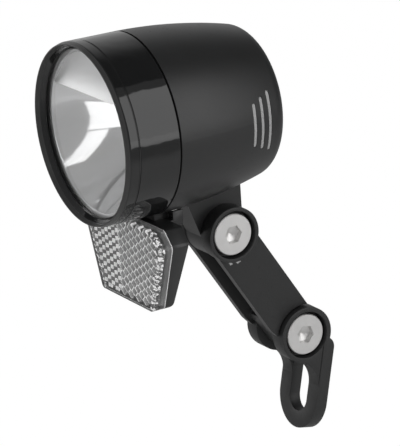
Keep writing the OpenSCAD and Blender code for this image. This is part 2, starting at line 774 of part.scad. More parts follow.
module upper_bolt() { in_arm() translate([0, 0, arm_len]) pivot_bolt(0); }

module upper_nut() { in_arm() translate([0, 0, arm_len]) pivot_nut(); }

module lower_bolt() { in_bracket() translate([0, -pivot_off, pivot_h]) pivot_bolt(socket_turn); }

module lower_nut() { in_bracket() translate([0, -pivot_off, pivot_h]) pivot_nut(); }

// Channel-shaped arm: two side plates, a web along the rear, two ringed ears above and one lug below
module arm() {
    plate_out = plate_in + arm_plate_t;
    clear_low = lower_ring_r + swing_gap;
    clear_up = upper_lug_r + swing_gap;
    color(black_satin) in_arm() difference() {
        union() {
            difference() {
                union() {
                    both_sides() across(plate_in, plate_out)
                        polygon([[-lower_lug_r, 0], [arm_rear, 0], [arm_rear, arm_len], [-arm_front, arm_len],
                            [-arm_front, clear_low]]);
                    across(-plate_out, plate_out) translate([arm_rear - arm_web_t, 0])
                        square([arm_web_t, arm_len]);
                    across(-plate_in - eps, plate_in + eps)
                        polygon([[arm_rear - eps, 0], [arm_rear - eps, gusset_h], [arm_rear - arm_web_t, gusset_h],
                            [-lower_lug_r, clear_low], [-lower_lug_r, 0]]);
                }
                across(-2 * plate_out, 2 * plate_out) circle(clear_low);
                across(-ear_in, ear_in) translate([0, arm_len]) circle(clear_up);
            }
            both_sides() across(ear_in, ear_out) translate([0, arm_len]) circle(upper_ring_r);
            across(-lug_t / 2, lug_t / 2) {
                circle(lower_lug_r);
                translate([-lower_lug_r, 0]) square([2 * lower_lug_r, clear_low + 1]);
            }
        }
        translate([0, 0, arm_len]) pivot_cuts();
        across(-lug_t, lug_t) circle(bore_r);
    }
}

// Side profile of one ear: a ring round the pivot, joined to the plate with a fillet below
module ear_profile() {
    reach = pivot_off - tab_t;
    drop = sqrt(pow(lower_ring_r + ear_fillet_r, 2) - pow(reach - ear_fillet_r, 2));
    fillet_c = [-tab_t - ear_fillet_r, pivot_h - drop];
    translate([-pivot_off, pivot_h]) circle(lower_ring_r);
    difference() {
        polygon([[-pivot_off, pivot_h], fillet_c, [-tab_t, fillet_c[1]], [-tab_t / 2, fillet_c[1]],
            [-tab_t / 2, pivot_h - tab_top_drop - tab_top_r]]);
        translate(fillet_c) circle(ear_fillet_r + lap);
    }
}

// Slotted plate that lies on the fork, with two ears for the arm
module fork_bracket() {
    slot_c = slot_len / 2 - slot_w / 2;
    tab_r = tab_w / 2;
    tab_c = tab_r - slot_len / 2 - tab_end;
    tab_top = pivot_h - tab_top_drop;
    color(black_satin) in_bracket() difference() {
        union() {
            intersection() {
                lengthwise(-tab_t, 0) {
                    translate([0, tab_c]) circle(tab_r);
                    translate([-tab_r, tab_c]) square([tab_w, tab_top - tab_c]);
                }
                across(-tab_w, tab_w) outline([[-tab_t, -slot_len - tab_w], [0, -slot_len - tab_w], [0, tab_top],
                    [-tab_t, tab_top]], [0, 0, tab_top_r, 0]);
            }
            both_sides() across(ear_in, ear_out) ear_profile();
        }
        lengthwise(-2 * tab_t, tab_t) {
            for (end = [-slot_c, slot_c]) translate([0, end]) circle(slot_w / 2);
            translate([-slot_w / 2, -slot_c]) square([slot_w, 2 * slot_c]);
        }
        translate([0, -pivot_off, pivot_h]) pivot_cuts();
    }
}

housing();
bezel();
front_lens();
lens_seal();
seam_seal();
main_reflector();
reflector_hood();
led_board();
led_package();
heat_sink();
driver_board();
driver_parts();
board_screws();
side_light_left();
side_light_right();
cable_grommet();
reflex_lens();
reflex_holder();
upper_bolt();
upper_nut();
arm();
lower_bolt();
lower_nut();
fork_bracket();
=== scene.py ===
import math

import bmesh
import bpy
from mathutils import Matrix, Vector


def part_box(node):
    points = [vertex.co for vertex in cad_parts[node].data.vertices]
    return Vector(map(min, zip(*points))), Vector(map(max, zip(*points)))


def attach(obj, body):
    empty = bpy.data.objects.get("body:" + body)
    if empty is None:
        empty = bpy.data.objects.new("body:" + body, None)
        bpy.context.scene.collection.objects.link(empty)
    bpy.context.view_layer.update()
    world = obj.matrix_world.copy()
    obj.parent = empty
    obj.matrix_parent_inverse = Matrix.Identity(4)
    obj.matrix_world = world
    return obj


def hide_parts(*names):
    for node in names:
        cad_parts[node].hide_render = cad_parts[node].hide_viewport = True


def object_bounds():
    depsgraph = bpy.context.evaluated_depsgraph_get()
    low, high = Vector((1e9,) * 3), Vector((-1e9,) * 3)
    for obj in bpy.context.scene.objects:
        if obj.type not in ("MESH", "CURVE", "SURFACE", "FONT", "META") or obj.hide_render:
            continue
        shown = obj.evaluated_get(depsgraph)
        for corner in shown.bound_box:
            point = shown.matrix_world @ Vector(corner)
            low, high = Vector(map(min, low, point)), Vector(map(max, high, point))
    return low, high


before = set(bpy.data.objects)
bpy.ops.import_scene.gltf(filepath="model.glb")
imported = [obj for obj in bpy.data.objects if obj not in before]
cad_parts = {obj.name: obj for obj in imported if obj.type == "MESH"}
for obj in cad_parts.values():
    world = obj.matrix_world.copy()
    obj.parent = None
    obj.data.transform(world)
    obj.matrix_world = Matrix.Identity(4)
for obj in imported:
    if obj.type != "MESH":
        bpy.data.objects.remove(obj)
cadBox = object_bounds()
scene = bpy.context.scene
mm = 0.001
seamGap = 0.3 * mm                                  # between the bezel and the housing
bezelLow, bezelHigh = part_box("bezel")
lampOrigin = Vector((0, bezelHigh.y + seamGap, (bezelLow.z + bezelHigh.z) / 2))    # on the axis, at the seam
print("frame loaded:", len(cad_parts), "nodes")


# view

view = {
    "offset": (0.5904, -0.3254, 0.1912),            # from lampOrigin, in metres
    "right": (0.5180, 0.8530, -0.0636),
    "up": (-0.2319, 0.2116, 0.9495),
    "lens": 232.33,                                 # long lens, so the far side hardly shrinks
    "sensor": 36,
    "nearest": 0.01,
}


def newObject(name, data):
    made = bpy.data.objects.new(name, data)
    scene.collection.objects.link(made)
    return made


def setCamera():
    cameraData = bpy.data.cameras.new("camera")
    cameraData.sensor_width = view["sensor"]
    cameraData.lens = view["lens"]
    cameraData.clip_start = view["nearest"]
    camera = newObject("camera", cameraData)
    right = Vector(view["right"]).normalized()
    back = right.cross(Vector(view["up"])).normalized()
    up = back.cross(right)
    turn = Matrix((right, up, back)).transposed().to_4x4()
    camera.matrix_world = Matrix.Translation(lampOrigin + Vector(view["offset"])) @ turn
    scene.camera = camera
    return back


towardCamera = setCamera()
scene.view_settings.view_transform = "Standard"
print("camera set")


# shader wiring

class Wire:
    def __init__(self, tree, socket=None):
        self.tree = tree
        self.socket = socket

    def node(self, kind, settings, sockets, out=0):     # any node: settings first, then values or links
        made = self.tree.nodes.new(kind)
        for key, value in settings.items():
            setattr(made, key, value)
        for key, value in sockets.items():
            self.plug(value, made.inputs[key])
        return Wire(self.tree, made.outputs[out])

    def plug(self, value, target):
        if isinstance(value, Wire):
            self.tree.links.new(value.socket, target)
        else:
            target.default_value = value

    def math(self, operation, first, second=0.0):
        return self.node("ShaderNodeMath", {"operation": operation}, {0: first, 1: second})

    def __add__(self, other):
        return self.math("ADD", self, other)

    def __radd__(self, other):
        return self.math("ADD", other, self)

    def __sub__(self, other):
        return self.math("SUBTRACT", self, other)

    def __rsub__(self, other):
        return self.math("SUBTRACT", other, self)

    def __mul__(self, other):
        return self.math("MULTIPLY", self, other)

    def __rmul__(self, other):
        return self.math("MULTIPLY", other, self)

    def __truediv__(self, other):
        return self.math("DIVIDE", self, other)

    def __rtruediv__(self, other):
        return self.math("DIVIDE", other, self)

    def __gt__(self, other):
        return self.math("GREATER_THAN", self, other)

    def __lt__(self, other):
        return self.math("LESS_THAN", self, other)

    def vector(self, operation, other=(0, 0, 0), out=0):     # out 1 is a length or a product
        return self.node("ShaderNodeVectorMath", {"operation": operation}, {0: self, 1: other}, out)

    def noise(self, scale, detail=2.0, roughness=0.5):       # cloudy value from 0 to 1 at this place
        return self.node("ShaderNodeTexNoise", {}, {"Vector": self, "Scale": scale, "Detail": detail,
                                                    "Roughness": roughness})

    def between(self, low, high):                            # 0 at low, 1 at high, smooth in between
        return self.node("ShaderNodeMapRange", {"interpolation_type": "SMOOTHSTEP"},
                         {"Value": self, "From Min": low, "From Max": high, "To Min": 0.0, "To Max": 1.0})

    def blend(self, first, second):                          # colour from first to second by this value
        return self.node("ShaderNodeMix", {"data_type": "RGBA"}, {0: self, 6: first, 7: second}, 2)

    def part(self, axis):
        return self.node("ShaderNodeSeparateXYZ", {}, {0: self}, axis)

    def bump(self, depth=1.0):                               # this value times depth is a height in metres
        return self.node("ShaderNodeBump", {}, {"Strength": 1.0, "Distance": depth, "Height": self})


noiseMiddle = 0.5


def grey(level, tint=0.0):                                   # a tint above 0 is bluish
    return (level * (1 - tint), level, level * (1 + tint), 1)


def newFinish(name, fixed):                                  # material, its shader, place on the piece
    material = bpy.data.materials.new(name)
    material.use_nodes = True
    tree = material.node_tree
    shader = tree.nodes["Principled BSDF"]
    for key, value in fixed.items():
        shader.inputs[key].default_value = value
    place = Wire(tree).node("ShaderNodeTexCoord", {}, {}, "Object")
    return material, shader, place


def showShader(mixed):
    mixed.plug(mixed, mixed.tree.nodes["Material Output"].inputs["Surface"])


plastic = {
    "ior": 1.5,
    "cloudShare": 0.7, "grainShare": 0.3,           # clouds and grain in the tone
    "darkest": 0.82, "lightest": 1.18,              # shares of a finish's tone
    "speckScale": 0.35, "speckRange": (0.68, 0.74),    # specks are coarser than the grain
    "satinBlend": 0.15,                             # mm over which the rim turns satin
    "scuffGrain": 1500, "scuffRagged": 1.6, "scuffOuter": 0.8, "scuffInner": 0.4, "scuffTone": 0.45,
}


def mouldedPlastic(name, look):                              # satin or gloss, cloudy tone, fine grain
    material, shader, place = newFinish(name, {"IOR": plastic["ior"]})
    cloud = place.noise(look["cloudScale"], detail=3.0)
    grain = place.noise(look["grainScale"], roughness=0.6)
    spots = place.noise(look["grainScale"] * plastic["speckScale"], detail=1.0)
    speck = spots.between(*plastic["speckRange"])
    tone = cloud * plastic["cloudShare"] + grain * plastic["grainShare"]
    ends = (grey(look["tone"] * plastic[end], look["tint"]) for end in ("darkest", "lightest"))
    colour = tone.blend(*ends)
    rough = look["rough"] + (cloud - noiseMiddle) * look["roughSpread"] + speck * look["speck"]
    if "satinFront" in look:                                 # the rim is less polished than its band
        ahead = lampOrigin.y - look["satinFront"] * mm - place.part(1)
        front = ahead.between(0, plastic["satinBlend"] * mm)
        colour = front.blend(colour, grey(look["frontTone"]))
        rough = rough + front * look["frontRough"]
    for spot, reach in look.get("scuffs", ()):               # worn spots: place and reach in mm
        away = place.vector("DISTANCE", Vector(spot) * mm, 1)
        torn = place.noise(plastic["scuffGrain"]) - noiseMiddle
        ragged = away + torn * (reach * plastic["scuffRagged"] * mm)
        worn = ragged.between(reach * plastic["scuffOuter"] * mm, reach * plastic["scuffInner"] * mm)
        colour = worn.blend(colour, grey(plastic["scuffTone"]))
    place.plug(colour, shader.inputs["Base Color"])
    place.plug(rough, shader.inputs["Roughness"])
    wave = place.noise(look["waveScale"], detail=1.0)
    skin = grain * look["grainDepth"] + wave * look["waveDepth"]
    place.plug(skin.bump(), shader.inputs["Normal"])
    return material


satinHousing = mouldedPlastic("satinHousing", {
    "tone": 0.013, "tint": 0.02, "rough": 0.40, "roughSpread": 0.10, "speck": 0.08,
    "cloudScale": 90, "grainScale": 2600, "grainDepth": 0.000012, "waveScale": 60, "waveDepth": 0.00002})
glossBezel = mouldedPlastic("glossBezel", {
    "tone": 0.009, "tint": 0.02, "rough": 0.07, "roughSpread": 0.04, "speck": 0.05,
    "cloudScale": 140, "grainScale": 1800, "grainDepth": 0.0000008, "waveScale": 190, "waveDepth": 0.00010,
    "satinFront": 14.1, "frontTone": 0.022, "frontRough": 0.28})
satinHolder = mouldedPlastic("satinHolder", {
    "tone": 0.015, "tint": 0.02, "rough": 0.36, "roughSpread": 0.10, "speck": 0.08,
    "cloudScale": 160, "grainScale": 2600, "grainDepth": 0.00001, "waveScale": 90, "waveDepth": 0.00001})
coatedArm = mouldedPlastic("coatedArm", {
    "tone": 0.014, "tint": 0.015, "rough": 0.50, "roughSpread": 0.10, "speck": 0.10,
    "cloudScale": 120, "grainScale": 2100, "grainDepth": 0.00002, "waveScale": 260, "waveDepth": 0.00002,
    "scuffs": (((7.2, -23.66, 40.66), 0.9), ((7.2, -25.8, 40.6), 0.7))})
blackRubber = mouldedPlastic("blackRubber", {
    "tone": 0.020, "tint": 0.0, "rough": 0.70, "roughSpread": 0.12, "speck": 0.10,
    "cloudScale": 220, "grainScale": 2400, "grainDepth": 0.00003, "waveScale": 300, "waveDepth": 0.00002})
driverDark = mouldedPlastic("driverDark", {
    "tone": 0.035, "tint": 0.12, "rough": 0.40, "roughSpread": 0.12, "speck": 0.05,
    "cloudScale": 260, "grainScale": 2200, "grainDepth": 0.00001, "waveScale": 200, "waveDepth": 0.00001})

metal = {
    "cloudShare": 0.6, "lineShare": 0.4,            # clouds and fine lines in the tone
    "darkest": 0.93, "lightest": 1.05,              # shares of a finish's tone
}


def brightMetal(name, look):                                 # metal or metal film: fine lines, slight waves
    material, shader, place = newFinish(name, {"Metallic": look["metal"]})
    cloud = place.noise(look["cloudScale"], detail=3.0)
    lines = place.node("ShaderNodeMapping", {}, {"Vector": place, "Scale": look["lineScale"]}).noise(1.0)
    tone = cloud * metal["cloudShare"] + lines * metal["lineShare"]
    ends = (grey(look["tone"] * metal[end], look["tint"]) for end in ("darkest", "lightest"))
    colour = tone.blend(*ends)
    lineRough = (lines - noiseMiddle) * look["lineRough"]
    rough = look["rough"] + (cloud - noiseMiddle) * look["roughSpread"] + lineRough
    place.plug(colour, shader.inputs["Base Color"])
    place.plug(rough, shader.inputs["Roughness"])
    wave = place.noise(look["waveScale"], detail=1.0)
    skin = lines * look["lineDepth"] + wave * look["waveDepth"]
    place.plug(skin.bump(), shader.inputs["Normal"])
    return material


mirrorFilm = brightMetal("mirrorFilm", {
    "metal": 0.7, "tone": 0.86, "tint": 0.005, "rough": 0.07, "roughSpread": 0.05, "lineRough": 0.03,
    "cloudScale": 130, "lineScale": (500, 60, 60), "lineDepth": 0.000002,
    "waveScale": 130, "waveDepth": 0.00003})
satinFilm = brightMetal("satinFilm", {
    "metal": 0.4, "tone": 0.88, "tint": 0.005, "rough": 0.42, "roughSpread": 0.06, "lineRough": 0.04,
    "cloudScale": 110, "lineScale": (300, 300, 60), "lineDepth": 0.000004,
    "waveScale": 110, "waveDepth": 0.00003})
boltSteel = brightMetal("boltSteel", {
    "metal": 0.85, "tone": 0.68, "tint": -0.01, "rough": 0.40, "roughSpread": 0.10, "lineRough": 0.10,
    "cloudScale": 300, "lineScale": (900, 900, 300), "lineDepth": 0.000004,
    "waveScale": 200, "waveDepth": 0.00002})
sinkAluminium = brightMetal("sinkAluminium", {
    "metal": 1.0, "tone": 0.58, "tint": 0.0, "rough": 0.42, "roughSpread": 0.10, "lineRough": 0.16,
    "cloudScale": 200, "lineScale": (1600, 90, 1600), "lineDepth": 0.00001,
    "waveScale": 200, "waveDepth": 0.00001})

clear = {
    "ior": 1.49,
    "flowTone": 0.96,                               # the darker flow waves, as a share of the tone
    "window": 0.95,                                 # light that passes to what lies behind
    "solidRough": 0.5,
}


def clearPlastic(name, look):                                # see-through moulding with faint flow waves
    material, shader, place = newFinish(name, {"Transmission Weight": look["clear"], "IOR": clear["ior"]})
    flow = place.noise(look["flowScale"])
    colour = flow.blend(grey(look["tone"] * clear["flowTone"]), grey(look["tone"]))
    place.plug(colour, shader.inputs["Base Color"])
    place.plug(look["rough"] + flow * look["roughSpread"], shader.inputs["Roughness"])
    place.plug(flow.bump(look["flowDepth"]), shader.inputs["Normal"])
    lampRay = place.node("ShaderNodeLightPath", {}, {}, "Is Shadow Ray")
    window = place.node("ShaderNodeBsdfTransparent", {}, {"Color": grey(clear["window"])})
    glass = Wire(place.tree, shader.outputs[0])
    mixed = place.node("ShaderNodeMixShader", {}, {0: lampRay, 1: glass, 2: window})
    if "solid" in look:                                      # where the piece isn't seen through: painted shade or a painted highlight in a solid tone
        share, tone = look["solid"](place)
        solid = place.node("ShaderNodeBsdfPrincipled", {},
                           {"Base Color": grey(tone), "Roughness": clear["solidRough"]})
        mixed = place.node("ShaderNodeMixShader", {}, {0: share, 1: mixed, 2: solid})
    showShader(mixed)
    return material


lensPaintedShadeRing = {"from": 20.75, "to": 20.90, "tone": 0.02}         # painted shade ring, mm from the lamp's axis


def lensEdgePaintedShade(place):                                         # painted shade: the lens's edge is made dark where the rim holds it
    offset = place.vector("SUBTRACT", tuple(lampOrigin))
    radius = offset.vector("MULTIPLY", (1, 0, 1)).vector("LENGTH", out=1)
    return radius.between(lensPaintedShadeRing["from"] * mm, lensPaintedShadeRing["to"] * mm), lensPaintedShadeRing["tone"]


flange = {                                          # painted highlight bands, mm from the seam, minus is in front of it
    "veilFrom": -3.8, "veilTo": -3.4, "veil": 0.07,
    "lineFrom": -2.24, "lineTo": -2.19, "line": 0.80,
    "tone": 0.85,
}


def flangePaintedHighlight(place):                                       # painted highlight: a pale line where lens and holder meet, and a faint pale veil in front of it
    depth = place.part(1) - lampOrigin.y
    veil, line = (depth.between(flange[band + "From"] * mm, flange[band + "To"] * mm) * flange[band]
                  for band in ("veil", "line"))
    return veil + line, flange["tone"]


lensClear = clearPlastic("lensClear", {
    "clear": 1.0, "tone": 0.98, "rough": 0.0, "roughSpread": 0.01, "flowScale": 60, "flowDepth": 0.000002,
    "solid": lensEdgePaintedShade})
reflexClear = clearPlastic("reflexClear", {
    "clear": 1.0, "tone": 0.98, "rough": 0.0, "roughSpread": 0.01, "flowScale": 120, "flowDepth": 0.000002,
    "solid": flangePaintedHighlight})
sideClear = clearPlastic("sideClear", {
    "clear": 0.35, "tone": 0.50, "rough": 0.22, "roughSpread": 0.10, "flowScale": 400, "flowDepth": 0.00001})

board = {
    "rough": 0.4, "trackScale": 220.0, "trackGap": 0.03, "trackOffset": 0.3,
    "mask": (0.012, 0.09, 0.04, 1), "maskLight": (0.016, 0.11, 0.05, 1), "track": (0.03, 0.16, 0.08, 1),
    "grain": 1200, "grainDepth": 0.00001,
}


def circuitBoard(name):
    material, shader, place = newFinish(name, {"Roughness": board["rough"]})
    tracks = place.node("ShaderNodeTexBrick", {"offset": board["trackOffset"]}, {
        "Vector": place, "Scale": board["trackScale"], "Mortar Size": board["trackGap"],
        "Color1": board["mask"], "Color2": board["maskLight"], "Mortar": board["track"]})
    place.plug(tracks, shader.inputs["Base Color"])
    place.plug(place.noise(board["grain"]).bump(board["grainDepth"]), shader.inputs["Normal"])
    return material


boardGreen = circuitBoard("boardGreen")

phosphor = {"rough": 0.35, "grain": 2400, "deep": (0.75, 0.55, 0.10, 1), "pale": (0.90, 0.74, 0.20, 1)}


def ledYellow(name):
    material, shader, place = newFinish(name, {"Roughness": phosphor["rough"]})
    dots = place.noise(phosphor["grain"])
    place.plug(dots.blend(phosphor["deep"], phosphor["pale"]), shader.inputs["Base Color"])
    return material


ledPhosphor = ledYellow("ledPhosphor")

facets = {
    "metal": 0.15, "paintedGlow": 0.5,                 # painted glow: emission stands in for the light that real prisms send back
    "sparkleGrain": 1300, "sparkleRange": (0.42, 0.62), "sparkleLow": 0.78, "sparkleSpread": 0.3,
    "cloudGrain": 900, "glintShare": 0.92, "cloudShare": 0.08,
    "dark": 0.05, "light": 0.95,
    "rough": 0.30, "roughSpread": 0.1,
}


def paintedFacetGlints(name):                                       # painted highlight and shade: each prism face gets a set brightness, and the bright ones a painted glow
    look = facets
    material, shader, place = newFinish(name, {"Metallic": look["metal"],
                                               "Emission Strength": look["paintedGlow"]})
    glitter = place.noise(look["sparkleGrain"], detail=1.0).between(*look["sparkleRange"])
    sparkle = look["sparkleLow"] + glitter * look["sparkleSpread"]
    # painted highlight and shade: each face's set brightness, varied at random
    paintedBrightness = place.node("ShaderNodeAttribute", {"attribute_name": "paintedGlint"}, {}, 2) * sparkle
    cloud = place.noise(look["cloudGrain"])
    tone = paintedBrightness * look["glintShare"] + cloud * look["cloudShare"]
    place.plug(tone.blend(grey(look["dark"]), grey(look["light"])), shader.inputs["Base Color"])
    # painted glow: bright faces emit, standing in for light sent back by real prisms
    place.plug((paintedBrightness * paintedBrightness).blend(grey(0.0), grey(1.0)), shader.inputs["Emission Color"])
    place.plug(look["rough"] + cloud * look["roughSpread"], shader.inputs["Roughness"])
    return material


prismPaintedGlints = paintedFacetGlints("prismPaintedGlints")
print("finishes made:", len(bpy.data.materials))


# pieces

copying = {
    "joinWithin": 0.000002, "sliver": 0.000001,     # metres
    "flatAngle": 0.3, "smoothAngle": 35,            # degrees
    "roundness": 0.5,
    "mostLean": 25,                                 # a corner that leans more from its face is set straight
}


def workMesh(name, work):                                    # the plain mesh of a finished bmesh
    mesh = bpy.data.meshes.new(name)
    work.to_mesh(mesh)
    work.free()
    return mesh


def dress(thing, material):
    thing.data.materials.clear()
    thing.data.materials.append(material)


def keepShading(work, cad):                                  # keeps the CAD's normals, mended where wrong
    shading = work.loops.layers.float_vector.new("shading")
    for face in work.faces:
        for corner, index in zip(face.loops, cad.polygons[face.index].loop_indices):
            normal = cad.corner_normals[index].vector
            leans = normal.angle(face.normal, 0) > math.radians(copying["mostLean"])
            corner[shading] = face.normal if leans else normal


def mergedMesh(node, shaded):                                # the CAD mesh with its loose triangles joined
    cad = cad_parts[node].data
    work = bmesh.new()
    work.from_mesh(cad)
    if shaded:
        keepShading(work, cad)
    bmesh.ops.remove_doubles(work, verts=work.verts, dist=copying["joinWithin"])
    bmesh.ops.dissolve_degenerate(work, edges=work.edges, dist=copying["sliver"])
    return work


def softEdges(node, look):                                   # copy of a CAD node with rounded edges
    work = mergedMesh(node, False)
    bmesh.ops.dissolve_limit(work, angle_limit=math.radians(copying["flatAngle"]), verts=work.verts,
                             edges=work.edges, delimit={"NORMAL"})
    leastAngle = math.radians(look["angle"])
    sharp = [e for e in work.edges if len(e.link_faces) == 2 and e.calc_face_angle(0) > leastAngle]
    bmesh.ops.bevel(work, geom=sharp, offset=look["width"] * mm, offset_type="OFFSET",
                    segments=look["steps"], profile=copying["roundness"], affect="EDGES",
                    clamp_overlap=True, harden_normals=False)
    bmesh.ops.triangulate(work, faces=[f for f in work.faces if len(f.verts) > 4])
    mesh = workMesh(look["piece"], work)
    mesh.shade_smooth()
    mesh.set_sharp_from_angle(angle=math.radians(copying["smoothAngle"]))
    return newObject(look["piece"], mesh)


def shadedCopy(node, look):                                  # copy of a CAD node with the CAD's own shading
    mesh = workMesh(look["piece"], mergedMesh(node, True))
    mesh.shade_smooth()
    shading = [corner.vector.copy() for corner in mesh.attributes["shading"].data]
    mesh.attributes.remove(mesh.attributes["shading"])
    mesh.normals_split_custom_set(shading)
    return newObject(look["piece"], mesh)


def sizeTree(name, sizes):                                   # empty node tree with named size inputs
    tree = bpy.data.node_groups.new(name, "GeometryNodeTree")
    tree.interface.new_socket("Geometry", in_out="INPUT", socket_type="NodeSocketGeometry")
    tree.interface.new_socket("Geometry", in_out="OUTPUT", socket_type="NodeSocketGeometry")
    for key, value in sizes.items():
        kind = "NodeSocketInt" if isinstance(value, int) else "NodeSocketFloat"
        tree.interface.new_socket(key, in_out="INPUT", socket_type=kind)
    entry = tree.nodes.new("NodeGroupInput")
    result = tree.nodes.new("NodeGroupOutput")
    return tree, {key: Wire(tree, entry.outputs[key]) for key in sizes}, result


def plainMesh(name, tree, sizes):                            # runs a tree once and keeps the mesh
    maker = newObject(name + "Maker", bpy.data.meshes.new(name + "Maker"))
    modifier = maker.modifiers.new("nodes", "NODES")
    modifier.node_group = tree
    for item in tree.interface.items_tree:
        if item.in_out == "INPUT" and item.name in sizes:
            modifier[item.identifier] = sizes[item.name]
    bpy.context.view_layer.update()
    graph = bpy.context.evaluated_depsgraph_get()
    mesh = bpy.data.meshes.new_from_object(maker.evaluated_get(graph))
    mesh.name = name
    bpy.data.objects.remove(maker)
    return newObject(name, mesh)


prisms = {                                          # places in mm from lampOrigin
    "pitch": 2.05, "columns": 21, "rows": 12,       # corner cubes on a six-sided grid
    "topZ": -24.8, "midZ": -27.5, "lowZ": -42.9,
    "topHalf": 13.0, "midHalf": 16.1, "lowHalf": 10.9,    # half widths of the field at these heights
    "split": -2.0,                                  # the cubes right of this are turned half round
    "leftTurn": 0, "rightTurn": 180,
    "apexY": -3.5, "backDepth": 0.25,
    "leftFaces": (0.14, 0.06, 1.0), "leftRim": 0.18,      # painted highlight and shade: brightness of a cube's faces and edges
    "rightFaces": (0.34, 0.26, 0.34), "rightRim": 0.82,
    "rimShare": 0.13,                               # part of a face that its painted bright edge takes
    # painted highlight and shade on the field's outer walls and backs
    "wallFaces": (1.0, 0.25, 1.0, 0.15, 1.0, 0.35), "backFaces": 0.2,
    "edgeLine": ((13.4, -24.6), (16.8, -27.7), (11.1, -43.3)),    # half width and height of their row
    "edgeStep": 1.15, "edgeScale": 0.55, "edgeY": -4.3, "edgeSeed": 5,
}


def cubeCorner(side):                                        # three faces of a cube corner, and its back, each face with painted highlight or shade
    faces = prisms[side + "Faces"]
    paintedRimGlint = prisms[side + "Rim"]
    backDepth = prisms["backDepth"] * mm
    ring = prisms["pitch"] * mm / math.sqrt(3)
    step = prisms["pitch"] * mm / math.sqrt(6)
    work = bmesh.new()
    paintedGlint = work.faces.layers.float.new("paintedGlint")
    apex = work.verts.new((0, 0, 0))
    rear = work.verts.new((0, backDepth, 0))
    rim = []
    for index in range(6):
        angle = math.radians(60 * index + prisms[side + "Turn"])
        depth = step if index % 2 else 2 * step
        rim.append(work.verts.new((ring * math.cos(angle), -depth, ring * math.sin(angle))))
    back = [work.verts.new((v.co.x, -backDepth, v.co.z)) for v in rim]
    inner = [work.verts.new(v.co * (1 - prisms["rimShare"])) for v in rim]
    for index in range(3):
        first, middle, last = 2 * index - 1, 2 * index, 2 * index + 1
        work.faces.new((apex, inner[first], inner[middle], inner[last]))[paintedGlint] = faces[index]
        work.faces.new((inner[first], rim[first], rim[middle], inner[middle]))[paintedGlint] = paintedRimGlint
        work.faces.new((inner[middle], rim[middle], rim[last], inner[last]))[paintedGlint] = paintedRimGlint
    for index, paintedWallGlint in enumerate(prisms["wallFaces"]):
        work.faces.new((rim[index - 1], back[index - 1], back[index], rim[index]))[paintedGlint] = paintedWallGlint
        work.faces.new((back[index - 1], rear, back[index]))[paintedGlint] = prisms["backFaces"]
    bmesh.ops.recalc_face_normals(work, faces=work.faces)
    return bpy.data.objects.new(side + "Cube", workMesh(side + "Cube", work))


def edgeCubes(start, shape, side, begin, end):               # row of small cubes along the lens's side
    first, last = (Vector((side * half, prisms["edgeY"], height)) * mm for half, height in (begin, end))
    count = round((last - first).length / (prisms["edgeStep"] * mm))
    line = start.node("GeometryNodeMeshLine", {"mode": "END_POINTS"},
                      {"Count": count, "Start Location": first, "Offset": last})
    spin = start.node("FunctionNodeRandomValue", {"data_type": "FLOAT"},
                      {2: 0.0, 3: math.tau, "Seed": prisms["edgeSeed"]}, 1)
    facing = start.node("ShaderNodeCombineXYZ", {}, {0: 0.0, 1: spin, 2: side * math.pi / 2})
    return start.node("GeometryNodeInstanceOnPoints", {}, {
        "Points": line, "Instance": shape, "Rotation": facing, "Scale": [prisms["edgeScale"]] * 3})


def makePrismField(name):
    look = prisms
    sizes = {"Pitch": look["pitch"] * mm, "Columns": look["columns"], "Rows": look["rows"],
             "Split": look["split"] * mm}
    tree, size, result = sizeTree(name, sizes)
    start = Wire(tree)
    grid = start.node("GeometryNodeMeshGrid", {}, {
        "Size X": 1.0, "Size Y": 1.0, "Vertices X": size["Columns"], "Vertices Y": size["Rows"]})
    index = start.node("GeometryNodeInputIndex", {}, {})
    column = start.math("FLOOR", index / size["Rows"])
    row = index - column * size["Rows"]
    odd = start.math("MODULO", column, 2.0)
    x = (column - (look["columns"] - 1) / 2) * size["Pitch"] * (math.sqrt(3) / 2)
    z = look["topZ"] * mm - (row - 1 + odd * 0.5) * size["Pitch"]
    wide = start.math("ABSOLUTE", x)
    slopeUp = (look["midHalf"] - look["topHalf"]) / (look["topZ"] - look["midZ"])
    slopeLow = (look["midHalf"] - look["lowHalf"]) / (look["midZ"] - look["lowZ"])
    upper = look["topHalf"] * mm + (look["topZ"] * mm - z) * slopeUp
    lower = look["midHalf"] * mm - (look["midZ"] * mm - z) * slopeLow
    outside = (wide > upper) + (wide > lower) + (z > look["topZ"] * mm) + (z < look["lowZ"] * mm)
    spot = start.node("ShaderNodeCombineXYZ", {}, {0: x, 1: look["apexY"] * mm, 2: z})
    placed = start.node("GeometryNodeSetPosition", {}, {"Geometry": grid, "Position": spot})
    kept = start.node("GeometryNodeDeleteGeometry", {"domain": "POINT"},
                      {"Geometry": placed, "Selection": outside > 0.5})
    onRight = start.node("GeometryNodeInputPosition", {}, {}).part(0) > size["Split"]
    shapes = {}
    groups = []
    for side, chosen in (("left", 1 - onRight), ("right", onRight)):
        shapes[side] = start.node("GeometryNodeObjectInfo", {}, {"Object": cubeCorner(side)}, "Geometry")
        groups.append(start.node("GeometryNodeInstanceOnPoints", {},
                                 {"Points": kept, "Selection": chosen, "Instance": shapes[side]}))
    groups += [edgeCubes(start, shapes["left"], side, begin, end) for side in (-1, 1)
               for begin, end in zip(look["edgeLine"], look["edgeLine"][1:])]
    joined = start.node("GeometryNodeJoinGeometry", {}, {})
    for group in groups:
        start.plug(group, joined.socket.node.inputs[0])
    moved = start.node("GeometryNodeTransform", {}, {"Geometry": joined, "Translation": lampOrigin})
    real = start.node("GeometryNodeRealizeInstances", {}, {"Geometry": moved})
    coloured = start.node("GeometryNodeSetMaterial", {}, {"Geometry": real, "Material": prismPaintedGlints})
    start.plug(coloured, result.inputs[0])
    return plainMesh(name, tree, sizes)


prismField = makePrismField("prismField")
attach(prismField, "head")
print("prism field:", len(prismField.data.polygons), "faces")

